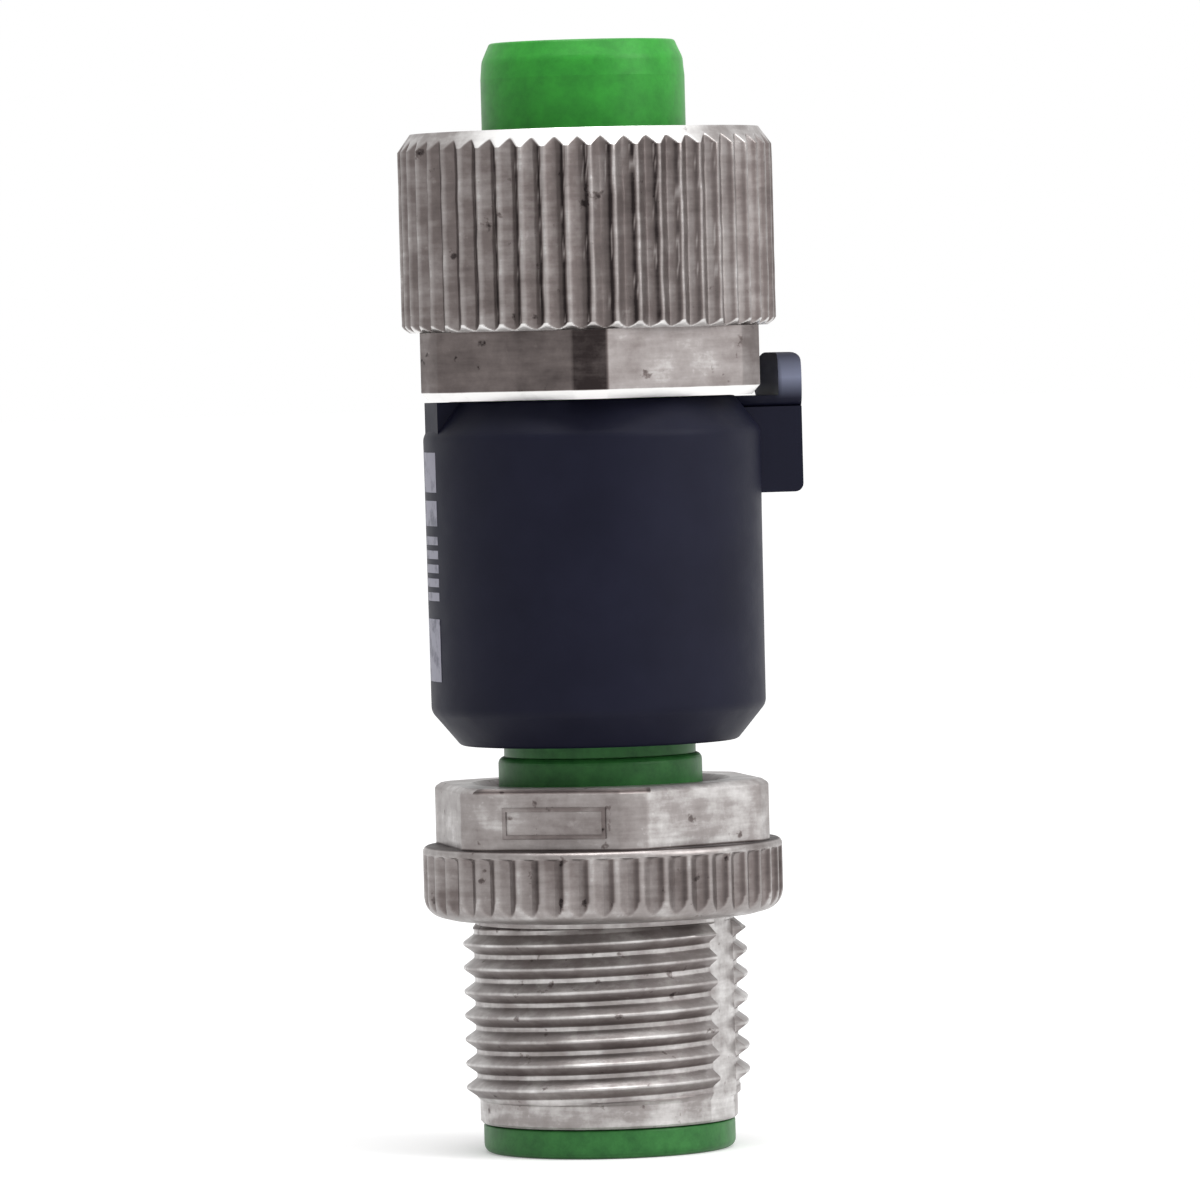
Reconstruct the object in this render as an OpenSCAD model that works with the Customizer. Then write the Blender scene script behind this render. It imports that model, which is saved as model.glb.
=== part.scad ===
// Straight M12 adapter: a male plug below, a moulded housing, a female socket above.
// The plug's end face is at z = 0 and the common axis is Z. The key of both ends is at +X.

/* [Housing] */
// Outside diameter of the moulded housing
housing_d = 14.05; // [13:0.05:17]
// Length of the moulded housing
housing_length = 14.3; // [12:0.1:18]
// Height of the bevel round the top edge
top_bevel_height = 1.4; // [0.8:0.1:1.8]
// Width of the bevel round the top edge
top_bevel_width = 1.05; // [0.5:0.05:1.3]
// Height of the bevel round the bottom edge
bottom_bevel_height = 1.45; // [0.8:0.05:1.8]
// Width of the bevel round the bottom edge
bottom_bevel_width = 1.2; // [0.5:0.05:1.4]
// Radius that softens the moulded edges
moulded_edge = 0.6; // [0.2:0.05:0.9]
// How much narrower the housing is at the bottom, in radius
housing_draft = 0.05; // [0:0.01:0.1]
// Width of the small rib opposite the lug
rib_width = 2.3; // [1.5:0.1:3]
// Height of the small rib opposite the lug
rib_height = 1.6; // [1:0.1:2]

/* [Index lug] */
// Thickness of the lug outside the coupling nut
lug_wall = 0.98; // [0.5:0.01:1.6]
// Width of the lug's head round the nut
lug_head_width = 4.0; // [3:0.1:5]
// Height of the lug's head, whose ends are round
lug_head_height = 2.4; // [1.5:0.05:2.5]
// Height of the head above the housing's top
lug_rise = 1.72; // [1:0.02:2.2]
// Width of the lug's stem
lug_stem_width = 3.2; // [1.5:0.1:3.5]
// Length of the stem below the head
lug_stem_length = 3.42; // [2:0.02:5]
// Radius of the lug's outer corners
lug_corner = 0.35; // [0.1:0.05:0.4]

/* [Socket insert] */
// Diameter of the green barrel that enters a plug
barrel_d = 8.5; // [8.3:0.05:8.6]
// Diameter of the shank below the barrel's flange
shank_d = 8.4; // [8.2:0.05:8.5]
// Length of the barrel above its flange
barrel_length = 9.4; // [8.5:0.1:12]
// Length of the curved lead-in at the barrel's tip
barrel_lead_in = 1.5; // [0.5:0.1:2]
// How much narrower the tip is, in radius
barrel_lead_in_step = 0.4; // [0.1:0.05:0.5]
// Thickness of the flange that holds the nut
flange_length = 1.4; // [1:0.1:2]

/* [Coupling nut] */
// Diameter over the grip ribs
nut_d = 15.6; // [15:0.05:19]
// Length of the ribbed grip
nut_grip_length = 8.25; // [6:0.05:10]
// Length of the hexagon
nut_hex_length = 2.85; // [2:0.05:4]
// Width of the hexagon across its flats
nut_hex_width = 14; // [13.5:0.1:15]
// Diameter to which the hexagon's corners are turned
nut_hex_corner_d = 15.4; // [15:0.05:16]
// Number of grip flutes
nut_flutes = 50; // [30:1:60]
// Depth of a grip flute
nut_flute_depth = 0.28; // [0.1:0.01:0.4]
// Height of the bevel at the nut's mouth
nut_bevel_height = 0.75; // [0.4:0.05:1]
// Width of the bevel at the nut's mouth
nut_bevel_width = 0.55; // [0.3:0.05:0.8]
// Thickness of the nut's inner lip
nut_lip_length = 1.95; // [1.8:0.05:2.6]
// Height of the bevel along the hexagon's bottom edges
nut_hex_bevel = 0.4; // [0.2:0.05:0.6]
// Travel of the nut along the barrel
nut_travel = 2.0; // [1:0.1:3]
// Turn of the hexagon at rest
nut_turn = 14.7; // [0:0.1:60]

/* [Plug insert] */
// Wall of the green cup that lines the plug
cup_wall = 0.55; // [0.5:0.05:0.7]
// Depth of the cup
cup_depth = 9.4; // [8.5:0.1:10]
// Diameter of the collar at the cup's mouth
collar_d = 10.5; // [10.3:0.05:10.7]
// Length of the collar
collar_length = 1.2; // [0.8:0.05:1.6]
// Diameter of the neck where it enters the screw
neck_d = 8.5; // [8.2:0.05:8.8]
// Diameter of the neck where it enters the housing
neck_step_d = 8.0; // [7.7:0.05:8.1]
// Length of the narrower step below the housing
neck_step_length = 0.5; // [0.3:0.05:0.8]

/* [Coupling screw] */
// Outside diameter of the thread
thread_d = 11.85; // [11.7:0.05:12]
// Length of the thread
thread_length = 7.6; // [6:0.1:9]
// Length of the plain lead before the thread
lead_length = 0.95; // [0.5:0.05:1.5]
// Diameter of the plain lead
lead_d = 10.75; // [10.7:0.05:10.9]
// Diameter over the ribs of the grip ring
grip_ring_d = 15; // [14.2:0.1:18]
// Length of the grip ring
grip_ring_length = 3.05; // [2.5:0.05:4]
// Number of flutes in the grip ring
grip_ring_flutes = 45; // [30:1:60]
// Depth of a flute in the grip ring
grip_ring_flute_depth = 0.3; // [0.1:0.01:0.4]
// Height of the plain rim above the grip ring's flutes
grip_ring_rim = 0.25; // [0.15:0.05:0.5]
// Bevel at the grip ring's lower edge
grip_ring_bevel = 0.9; // [0.4:0.05:1.2]
// Length of the hexagon
screw_hex_length = 2.55; // [2:0.05:4]
// Width of the hexagon across its flats
screw_hex_width = 13; // [12.6:0.1:14]
// Diameter to which the hexagon's corners are turned
screw_hex_corner_d = 14.3; // [13.4:0.1:15]
// Bevel along the hexagon's top edges
screw_hex_bevel = 0.22; // [0.1:0.01:0.35]
// Travel of the screw along the plug
screw_travel = 1.6; // [0.8:0.1:2.5]
// Turn of the hexagon at rest
screw_turn = 26.75; // [0:0.1:60]
// Width of the two grooves that run along the thread
thread_groove_width = 1.6; // [0.8:0.1:2.5]
// Angle of the grooves round the thread at rest
thread_groove_angle = 135; // [0:1:180]

/* [Contacts] */
// Number of contacts, the last one in the middle
contacts = 5; // [5:1:5]
// Diameter of the circle that the outer contacts stand on
contact_circle_d = 5.5; // [5.2:0.05:5.6]
// Diameter of a plug pin
pin_d = 1.0; // [0.8:0.05:1.1]
// Distance from the plug's mouth to the pin tips
pin_recess = 1.9; // [1:0.1:3]
// Diameter of a pin's fixed part
pin_body_d = 1.55; // [1.4:0.05:1.6]
// Outside diameter of a socket contact
socket_contact_d = 1.7; // [1.6:0.05:1.75]
// Distance from the barrel's tip to the socket contacts
socket_contact_recess = 0.7; // [0.4:0.05:1.2]
// Length of a solder cup
solder_cup_length = 1.6; // [1:0.1:2.2]
// Diameter of a link wire over its insulation
wire_d = 1.4; // [1:0.05:1.5]
// Diameter of a link wire's bare ends
wire_core_d = 0.84; // [0.5:0.02:0.9]

/* [Key] */
// Width of the key rib in the plug
key_width = 1.3; // [1:0.05:1.5]
// Height of the key rib in the plug
key_height = 0.65; // [0.4:0.05:0.7]

/* [Clearances] */
// Radial gap between the barrel and a plug's cup
mating_gap = 0.1; // [0.05:0.01:0.2]
// Radial gap round pieces that turn
turning_gap = 0.1; // [0.06:0.01:0.2]
// Gap between resting faces of pieces that move
seat_gap = 0.05; // [0.02:0.01:0.1]
// Radial gap of the nut's inner lip round the shank
lip_gap = 0.4; // [0.2:0.05:0.5]
// Radial gap between the barrel's flange and the nut's thread
flange_gap = 0.26; // [0.15:0.01:0.4]
// Radial overlap of a nut thread and a screw thread
thread_overlap = 0.465; // [0.3:0.005:0.55]
// Gap between the lug and the turning nut
lug_gap = 0.12; // [0.1:0.01:0.4]
// Gap round pieces that are moulded in
mould_fit = 0.02; // [0.01:0.01:0.05]

/* [Hidden] */
$fn = 96;

// Tiny overlap that lets cuts run past a face.
past = 0.1;
// Steps in each rounded corner of a turned outline.
corner_steps = 5;

// Heights of the plug, from its mouth upwards.
screw_base = collar_length + seat_gap;
thread_base = screw_base + lead_length;
grip_ring_base = thread_base + thread_length;
screw_hex_base = grip_ring_base + grip_ring_length;
screw_top = screw_hex_base + screw_hex_length;
housing_base = screw_top + screw_travel;
housing_top = housing_base + housing_length;

// Heights of the socket.
nut_base = housing_top + seat_gap;
nut_grip_base = nut_base + nut_hex_length;
nut_top = nut_grip_base + nut_grip_length;
lip_top = nut_base + nut_lip_length;
flange_base = lip_top + nut_travel + seat_gap;
flange_top = flange_base + flange_length;
barrel_top = flange_top + barrel_length;

// Rubber rings: cord thickness and the grooves that hold them.
seal_cord = 1.0;
seal_seat_d = barrel_d - 0.4;
brake_cord = 0.76;
brake_squeeze_gap = 0.07;
brake_groove_height = brake_cord + 2 * brake_squeeze_gap;
nut_brake_d = shank_d + 2 * brake_squeeze_gap + brake_cord;
screw_brake_d = neck_d + 2 * brake_squeeze_gap + brake_cord;

// Diameters that follow from what fits inside.
cup_bore_d = barrel_d + 2 * mating_gap;
cup_d = cup_bore_d + 2 * cup_wall;
screw_bore_d = cup_d + 2 * turning_gap;
nut_bore_d = thread_d - 2 * thread_overlap;
lip_bore_d = shank_d + 2 * lip_gap;
socket_flange_d = nut_bore_d - 2 * flange_gap;
lug_inner_r = nut_hex_corner_d / 2 + lug_gap;
lug_outer_r = lug_inner_r + lug_wall;

// The nut's thread: an undercut behind it and a bevel at its mouth.
thread_relief_d = thread_d + 0.3;
undercut_base = lip_top + 0.4;
undercut_length = 1.2;
entry_bevel = 0.55;

// The moulded-in pieces inside the housing.
anchor_d = 9.8;
anchor_length = 1.2;
anchor_depth = 1.4;
core_base = housing_base + anchor_depth + anchor_length;
socket_anchor_depth = 1.9;
core_top = housing_top - socket_anchor_depth - anchor_length;

// The shoulder inside the screw that its brake ring works against.
cup_floor = 3.5;
cup_shoulder = cup_depth + cup_floor;
screw_brake_z = screw_hex_base + 1.1;
nut_brake_z = nut_base + 1.0;

// Contact lengths.
pin_shoulder = cup_shoulder + 0.1;
pin_end = core_base + solder_cup_length;
socket_contact_top = barrel_top - socket_contact_recess;
socket_contact_end = core_top - solder_cup_length;
contact_slot_length = 4;
contact_slot_width = 0.2;
solder_bore_d = wire_core_d + 0.06;
strip_length = solder_cup_length - 0.2;
key_slot_play = 0.15;
socket_hole_d = pin_d + 0.3;
socket_hole_bevel = 0.3;
key_recess = 0.6;
cup_entry = 0.3;
bore_entry = 0.3;

// Straight bevels turned on corners, and how far the lug's root is sunk in.
corner_bevel = 0.25;
lug_root = 0.5;
lug_seam = 0.15;
rib_inset = 0.18;

// The bare raised frame on one flat of the screw's hexagon.
frame_mid = 0.42 * screw_hex_length;
frame_length = 4.5;
frame_height = 1.3;
frame_line = 0.18;
frame_rise = 0.06;

// Points of an arc that rounds the corner b of the path a-b-c to the radius r.
function rounded_corner(a, b, c, r) =
    r <= 0 ? [b] :
    let (
        u = (a - b) / norm(a - b),
        v = (c - b) / norm(c - b),
        half = acos(u * v) / 2,
        centre = b + (u + v) / norm(u + v) * r / sin(half),
        from = b + u * r / tan(half) - centre,
        to = b + v * r / tan(half) - centre,
        start = atan2(from[1], from[0]),
        turn = atan2(to[1], to[0]) - start,
        sweep = turn > 180 ? turn - 360 : turn < -180 ? turn + 360 : turn
    )
    [for (k = [0 : corner_steps])
        centre + r * [cos(start + sweep * k / corner_steps),
                      sin(start + sweep * k / corner_steps)]];

// An outline of [x, y, corner radius] rows with its corners rounded.
function rounded(path) =
    let (n = len(path), p = [for (q = path) [q[0], q[1]]])
    [for (k = [0 : n - 1])
        each rounded_corner(p[(k + n - 1) % n], p[k], p[(k + 1) % n], path[k][2])];

// Place of contact n: four on the circle, the fifth on the axis.
function contact_at(n) =
    n > 4 ? [0, 0] :
    contact_circle_d / 2 * [cos(45 + 90 * (n - 1)), sin(45 + 90 * (n - 1))];

// Radius of the cutter that leaves a flute of this depth in most of its pitch.
function flute_r(pitch, depth) =
    let (half = 0.41 * pitch) (half * half + depth * depth) / (2 * depth);

module turned(path) {
    rotate_extrude() polygon(rounded(path));
}

module cylinder_between(d, from, to) {
    translate([0, 0, from]) cylinder(d = d, h = to - from);
}

module at_contacts() {
    for (n = [1 : contacts])
        translate(contact_at(n)) children();
}

module ring(d, cord, z) {
    translate([0, 0, z])
        rotate_extrude() translate([d / 2, 0]) circle(d = cord, $fn = 48);
}

// A bar with shallow round flutes all along it.
module fluted_bar(d, flutes, depth, length) {
    cutter = flute_r(PI * d / flutes, depth);
    linear_extrude(length)
        difference() {
            circle(d = d);
            for (k = [0 : flutes - 1])
                rotate(360 * k / flutes)
                    translate([d / 2 - depth + cutter, 0]) circle(r = cutter, $fn = 32);
        }
}

// A hexagon bar given by its width across the flats.
module hexagon_bar(width, length) {
    cylinder(d = width / cos(30), h = length, $fn = 6);
}

// Wedges that bevel the end edges of a hexagon's flats; they point up from the end face.
module flat_bevels(width, height, depth) {
    for (k = [0 : 5])
        rotate(60 * k + 30)
            translate([width / 2, 0, 0])
                rotate([90, 0, 0])
                    linear_extrude(width, center = true)
                        polygon([[-depth, 0], [0, height], [depth, height], [depth, -past],
                            [-depth, -past]]);
}

// Lug at +X: a head with round ends on a straight stem, both curved round the axis.
module index_lug() {
    head_top = housing_top + lug_rise;
    head_mid = head_top - lug_head_height / 2;
    half_run = (lug_head_width - lug_head_height) / 2;
    stem_top = head_top - lug_head_height + lug_seam;
    stem_base = stem_top - lug_seam - lug_stem_length;
    root = housing_d / 2 - top_bevel_width - lug_root;
    difference() {
        intersection() {
            turned([
                [root, stem_base, 0],
                [lug_outer_r, stem_base, lug_corner],
                [lug_outer_r, head_top, lug_corner],
                [root, head_top, 0]]);
            // outline seen from outside
            rotate([90, 0, 90])
                linear_extrude(lug_outer_r + past)
                    union() {
                        translate([-half_run, head_mid - lug_head_height / 2])
                            square([2 * half_run, lug_head_height]);
                        for (side = [-1, 1])
                            translate([side * half_run, head_mid])
                                circle(d = lug_head_height);
                        translate([-lug_stem_width / 2, stem_base])
                            square([lug_stem_width, stem_top - stem_base]);
                    }
        }
        cylinder_between(2 * lug_inner_r, nut_base - lug_gap, head_top + past);
    }
}

// Small rib at -X that fills the housing's top bevel.
module index_rib() {
    r = housing_d / 2;
    depth = top_bevel_width + lug_root;
    translate([-r + rib_inset, -rib_width / 2, housing_top - rib_height])
        cube([depth, rib_width, rib_height]);
}

module housing() {
    r = housing_d / 2;
    r_low = r - housing_draft;
    color([0.16, 0.17, 0.22])
        difference() {
            union() {
                turned([
                    [0, housing_base, 0],
                    [r_low - bottom_bevel_width, housing_base, 0.3],
                    [r_low, housing_base + bottom_bevel_height, moulded_edge],
                    [r, housing_top - top_bevel_height, moulded_edge],
                    [r - top_bevel_width, housing_top, 0.15],
                    [0, housing_top, 0]]);
                index_lug();
                index_rib();
            }
            cylinder_between(neck_step_d + 2 * mould_fit, housing_base - past, core_base);
            cylinder_between(anchor_d + 2 * mould_fit,
                core_base - anchor_length - mould_fit, core_top + anchor_length + mould_fit);
            cylinder_between(shank_d + 2 * mould_fit, core_top, housing_top + past);
        }
}

module inner_core() {
    color([0.55, 0.55, 0.52])
        difference() {
            cylinder_between(anchor_d, core_base + mould_fit, core_top - mould_fit);
            at_contacts() {
                cylinder_between(wire_d + 2 * mould_fit, core_base - past, core_top + past);
                cylinder_between(pin_body_d + 2 * mould_fit, core_base - past,
                    pin_end + mould_fit);
                cylinder_between(socket_contact_d + 2 * mould_fit,
                    socket_contact_end - mould_fit, core_top + past);
            }
        }
}

module socket_insert() {
    r = barrel_d / 2;
    seat_top = flange_top + seal_cord + brake_squeeze_gap;
    key_slot_depth = key_height + key_slot_play;
    contact_top = socket_contact_top + mould_fit;
    color([0.25, 0.62, 0.27])
        difference() {
            turned([
                [0, core_top, 0],
                [anchor_d / 2, core_top, 0],
                [anchor_d / 2, core_top + anchor_length, 0],
                [shank_d / 2, core_top + anchor_length, 0],
                [shank_d / 2, flange_base, 0],
                [socket_flange_d / 2, flange_base, 0.2],
                [socket_flange_d / 2, flange_top, 0.2],
                [seal_seat_d / 2, flange_top, 0],
                [seal_seat_d / 2, seat_top, 0],
                [r, seat_top, 0],
                [r, barrel_top - barrel_lead_in, 0],
                [r - barrel_lead_in_step / 6, barrel_top - barrel_lead_in / 2, 0.8],
                [r - barrel_lead_in_step, barrel_top, 0.15],
                [0, barrel_top, 0]]);
            // key slot down the barrel
            translate([r - key_slot_depth, -key_width / 2 - key_slot_play / 2, seat_top])
                cube([key_slot_depth + past, key_width + key_slot_play, barrel_length]);
            at_contacts() {
                cylinder_between(socket_contact_d + 2 * mould_fit, core_top - past, contact_top);
                cylinder_between(socket_hole_d, contact_top - past, barrel_top + past);
                translate([0, 0, barrel_top - socket_hole_bevel])
                    cylinder(d1 = socket_hole_d, d2 = socket_hole_d + 2 * socket_hole_bevel,
                        h = socket_hole_bevel);
            }
        }
}

module pin_insert() {
    color([0.22, 0.55, 0.25])
        difference() {
            union() {
                difference() {
                    turned([
                        [0, 0, 0],
                        [collar_d / 2, 0, 0.35],
                        [collar_d / 2, collar_length, 0.1],
                        [cup_d / 2, collar_length, 0],
                        [cup_d / 2, cup_shoulder, 0.2],
                        [neck_d / 2, cup_shoulder, 0],
                        [neck_d / 2, housing_base - neck_step_length, 0.3],
                        [neck_step_d / 2, housing_base - neck_step_length, 0],
                        [neck_step_d / 2, core_base - anchor_length, 0],
                        [anchor_d / 2, core_base - anchor_length, 0],
                        [anchor_d / 2, core_base, 0],
                        [0, core_base, 0]]);
                    cylinder_between(cup_bore_d, -past, cup_depth);
                    // entry bevel of the cup
                    cylinder(d1 = cup_bore_d + 2 * cup_entry, d2 = cup_bore_d, h = cup_entry);
                }
                // key rib inside the cup
                translate([cup_bore_d / 2 - key_height, -key_width / 2, key_recess])
                    cube([key_height + cup_wall / 2, key_width, cup_depth - key_recess + past]);
            }
            at_contacts() {
                cylinder_between(pin_d + 2 * mould_fit, cup_depth - past, core_base + past);
                cylinder_between(pin_body_d + 2 * mould_fit, pin_shoulder - mould_fit,
                    core_base + past);
            }
        }
}

module face_seal() {
    color([0.75, 0.2, 0.15])
        ring(seal_seat_d + 2 * brake_squeeze_gap + seal_cord, seal_cord,
            flange_top + seal_cord / 2 + mould_fit);
}

module coupling_nut() {
    r = nut_d / 2;
    corner_r = nut_hex_corner_d / 2;
    color([0.66, 0.62, 0.58])
        difference() {
            union() {
                intersection() {
                    translate([0, 0, nut_grip_base])
                        rotate(nut_turn)
                            fluted_bar(nut_d, nut_flutes, nut_flute_depth, nut_grip_length);
                    turned([
                        [0, nut_grip_base, 0],
                        [r - 0.35, nut_grip_base, 0],
                        [r, nut_grip_base + 0.3, 0.15],
                        [r, nut_top - nut_bevel_height, 0.2],
                        [r - nut_bevel_width, nut_top, 0.12],
                        [0, nut_top, 0]]);
                }
                intersection() {
                    translate([0, 0, nut_base])
                        rotate(nut_turn)
                            difference() {
                                hexagon_bar(nut_hex_width, nut_hex_length + past);
                                flat_bevels(nut_hex_width, nut_hex_bevel, nut_hex_bevel * 0.8);
                            }
                    turned([
                        [0, nut_base, 0],
                        [corner_r - corner_bevel, nut_base, 0],
                        [corner_r, nut_base + corner_bevel, 0],
                        [corner_r, nut_grip_base + past, 0],
                        [0, nut_grip_base + past, 0]]);
                }
            }
            cylinder_between(lip_bore_d, nut_base - past, lip_top + past);
            cylinder_between(nut_bore_d, lip_top, nut_top + past);
            // undercut behind the thread and its entry bevel
            cylinder_between(thread_relief_d, undercut_base, undercut_base + undercut_length);
            translate([0, 0, nut_top - entry_bevel])
                cylinder(d1 = nut_bore_d, d2 = thread_relief_d, h = entry_bevel);
            // groove of the brake ring
            cylinder_between(nut_brake_d + brake_cord + 2 * brake_squeeze_gap,
                nut_brake_z - brake_groove_height / 2, nut_brake_z + brake_groove_height / 2);
        }
}

module nut_brake_ring() {
    color([0.12, 0.12, 0.12])
        ring(nut_brake_d, brake_cord, nut_brake_z);
}

// Two grooves along the thread, half a turn apart.
module thread_grooves() {
    for (side = [0, 180])
        rotate(thread_groove_angle + side)
            translate([lead_d / 2, -thread_groove_width / 2, thread_base - past])
                cube([thread_d, thread_groove_width, thread_length + past]);
}

// Bare raised frame on the flat that faces the front.
module hexagon_frame() {
    flat_angle = screw_turn - 150;
    rotate(flat_angle)
        translate([screw_hex_width / 2 - past, 0, screw_hex_base + frame_mid])
            difference() {
                translate([0, -frame_length / 2, -frame_height / 2])
                    cube([past + frame_rise, frame_length, frame_height]);
                translate([past / 2, frame_line - frame_length / 2, frame_line - frame_height / 2])
                    cube([past + frame_rise, frame_length - 2 * frame_line,
                        frame_height - 2 * frame_line]);
            }
}

module coupling_screw() {
    ring_r = grip_ring_d / 2;
    corner_r = screw_hex_corner_d / 2;
    color([0.66, 0.62, 0.58])
        difference() {
            union() {
                difference() {
                    turned([
                        [0, screw_base, 0],
                        [lead_d / 2, screw_base, 0.1],
                        [lead_d / 2, thread_base, 0],
                        [thread_d / 2, thread_base, 0],
                        [thread_d / 2, grip_ring_base + past, 0],
                        [0, grip_ring_base + past, 0]]);
                    thread_grooves();
                }
                intersection() {
                    union() {
                        translate([0, 0, grip_ring_base])
                            fluted_bar(grip_ring_d, grip_ring_flutes, grip_ring_flute_depth,
                                grip_ring_length - grip_ring_rim);
                        cylinder_between(grip_ring_d, screw_hex_base - grip_ring_rim,
                            screw_hex_base);
                    }
                    turned([
                        [0, grip_ring_base, 0],
                        [ring_r - grip_ring_bevel, grip_ring_base, 0.2],
                        [ring_r, grip_ring_base + grip_ring_bevel, 0.6],
                        [ring_r, screw_hex_base, 0.35],
                        [0, screw_hex_base, 0]]);
                }
                intersection() {
                    rotate(screw_turn)
                        difference() {
                            translate([0, 0, screw_hex_base - past])
                                hexagon_bar(screw_hex_width, screw_hex_length + past);
                            translate([0, 0, screw_top]) mirror([0, 0, 1])
                                flat_bevels(screw_hex_width, screw_hex_bevel, screw_hex_bevel);
                        }
                    turned([
                        [0, screw_hex_base - past, 0],
                        [corner_r, screw_hex_base - past, 0],
                        [corner_r, screw_top - screw_hex_bevel, 0],
                        [corner_r - screw_hex_bevel, screw_top, 0],
                        [0, screw_top, 0]]);
                }
                hexagon_frame();
            }
            cylinder_between(screw_bore_d, screw_base - past, screw_top + past);
            translate([0, 0, screw_top - bore_entry])
                cylinder(d1 = screw_bore_d, d2 = screw_bore_d + 2 * bore_entry, h = bore_entry);
            // groove of the brake ring
            cylinder_between(screw_brake_d + brake_cord + 2 * brake_squeeze_gap,
                screw_brake_z - brake_groove_height / 2, screw_brake_z + brake_groove_height / 2);
        }
}

module screw_brake_ring() {
    color([0.12, 0.12, 0.12])
        ring(screw_brake_d, brake_cord, screw_brake_z);
}

module contact_pin(n) {
    color([0.85, 0.68, 0.3])
        translate(contact_at(n))
            difference() {
                union() {
                    translate([0, 0, pin_recess + pin_d / 2]) sphere(d = pin_d);
                    cylinder_between(pin_d, pin_recess + pin_d / 2, pin_shoulder);
                    cylinder_between(pin_body_d, pin_shoulder, pin_end);
                }
                cylinder_between(solder_bore_d, pin_end - solder_cup_length, pin_end + past);
            }
}

module socket_contact(n) {
    color([0.85, 0.68, 0.3])
        translate(contact_at(n))
            difference() {
                cylinder_between(socket_contact_d, socket_contact_end, socket_contact_top);
                cylinder_between(pin_d + 0.04, flange_top, socket_contact_top + past);
                cylinder_between(solder_bore_d, socket_contact_end - past,
                    socket_contact_end + solder_cup_length);
                for (turn = [0, 90])
                    rotate(turn)
                        translate([-socket_contact_d, -contact_slot_width / 2,
                            socket_contact_top - contact_slot_length])
                            cube([2 * socket_contact_d, contact_slot_width,
                                contact_slot_length + past]);
            }
}

module link_wire(n) {
    color([0.7, 0.4, 0.25])
        translate(contact_at(n)) {
            cylinder_between(wire_core_d, pin_end - strip_length,
                socket_contact_end + strip_length);
            cylinder_between(wire_d, pin_end + mould_fit, socket_contact_end - mould_fit);
        }
}

housing();
inner_core();
socket_insert();
pin_insert();
face_seal();
coupling_nut();
nut_brake_ring();
coupling_screw();
screw_brake_ring();
for (n = [1 : contacts]) {
    contact_pin(n);
    socket_contact(n);
    link_wire(n);
}
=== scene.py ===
from math import atan2, cos, degrees, hypot, pi, radians, sin, sqrt

import bmesh
import bpy
from mathutils import Matrix, Vector, noise


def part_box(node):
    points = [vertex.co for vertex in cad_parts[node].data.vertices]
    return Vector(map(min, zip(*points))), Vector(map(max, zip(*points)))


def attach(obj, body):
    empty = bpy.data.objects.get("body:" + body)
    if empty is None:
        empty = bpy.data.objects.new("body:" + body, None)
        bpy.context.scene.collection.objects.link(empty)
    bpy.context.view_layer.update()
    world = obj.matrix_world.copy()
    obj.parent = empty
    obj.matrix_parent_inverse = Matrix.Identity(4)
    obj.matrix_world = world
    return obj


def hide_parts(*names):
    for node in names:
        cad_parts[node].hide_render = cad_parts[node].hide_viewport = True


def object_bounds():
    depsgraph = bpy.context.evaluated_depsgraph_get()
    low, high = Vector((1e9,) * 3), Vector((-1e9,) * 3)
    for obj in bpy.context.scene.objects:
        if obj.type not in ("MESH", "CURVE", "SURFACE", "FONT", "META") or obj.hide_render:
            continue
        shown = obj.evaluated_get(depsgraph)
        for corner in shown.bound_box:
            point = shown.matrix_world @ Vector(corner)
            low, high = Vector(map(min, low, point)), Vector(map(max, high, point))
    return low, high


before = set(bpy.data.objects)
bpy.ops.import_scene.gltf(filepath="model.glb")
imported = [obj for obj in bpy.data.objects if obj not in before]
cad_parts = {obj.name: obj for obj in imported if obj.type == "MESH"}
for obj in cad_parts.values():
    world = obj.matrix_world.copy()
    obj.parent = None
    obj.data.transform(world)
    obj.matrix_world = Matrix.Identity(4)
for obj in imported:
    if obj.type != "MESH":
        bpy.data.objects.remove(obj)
cad_low, cad_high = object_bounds()
MM = 0.001


# ---- Camera -----------------------------------------------------------------------------
# A long lens looks at the adapter's middle from its front left, level with its nut. The
# camera is turned a little about its own line of sight, so the adapter leans to the left.
view_azimuth = radians(-14.0)
camera_distance = 0.385
camera_height = 0.035
field_width = 50.0 * MM
sensor_width = 36.0
lean = radians(1.5)
aim_right = 0.17 * MM
aim_down = 0.17 * MM

middle = Vector((0, 0, (cad_low.z + cad_high.z) / 2))
eye = Vector((sin(view_azimuth), -cos(view_azimuth), 0)) * camera_distance
eye.z = camera_height
forward = (middle - eye).normalized()
level_right = forward.cross(Vector((0, 0, 1))).normalized()
level_up = level_right.cross(forward)
camera_right = level_right * cos(lean) - level_up * sin(lean)
camera_up = level_up * cos(lean) + level_right * sin(lean)
eye += camera_right * aim_right - camera_up * aim_down

camera_data = bpy.data.cameras.new("camera")
camera_data.sensor_width = sensor_width
camera_data.lens = sensor_width * (eye - middle).length / field_width
camera_data.clip_start = 0.01
camera_data.clip_end = 20.0
camera = bpy.data.objects.new("camera", camera_data)
camera.matrix_world = Matrix.Translation(eye) @ Matrix(
    (camera_right, camera_up, -forward)).transposed().to_4x4()
bpy.context.scene.collection.objects.link(camera)
bpy.context.scene.camera = camera


# ---- Housing ----------------------------------------------------------------------------
# The black housing is moulded over both inserts in one shot, with the index lug. It is a matt
# plastic with a fine eroded grain, and the lug's head carries a painted highlight, pale across its
# upper middle and darker towards its top and foot.
housing_black = (0.0048, 0.0052, 0.0150, 1)
# The paler tone serves both the grain's light spots and the flanks of the lug head's painted
# highlight; the lug tone is that highlight's pale middle.
housing_pale_grain_and_sheen = (0.0090, 0.0095, 0.0230, 1)
lug_painted_highlight = (0.170, 0.185, 0.260, 1)
lug_start, lug_face = 7.45 * MM, 7.75 * MM
lug_head_low, lug_head_high = 30.6 * MM, 33.1 * MM


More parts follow.
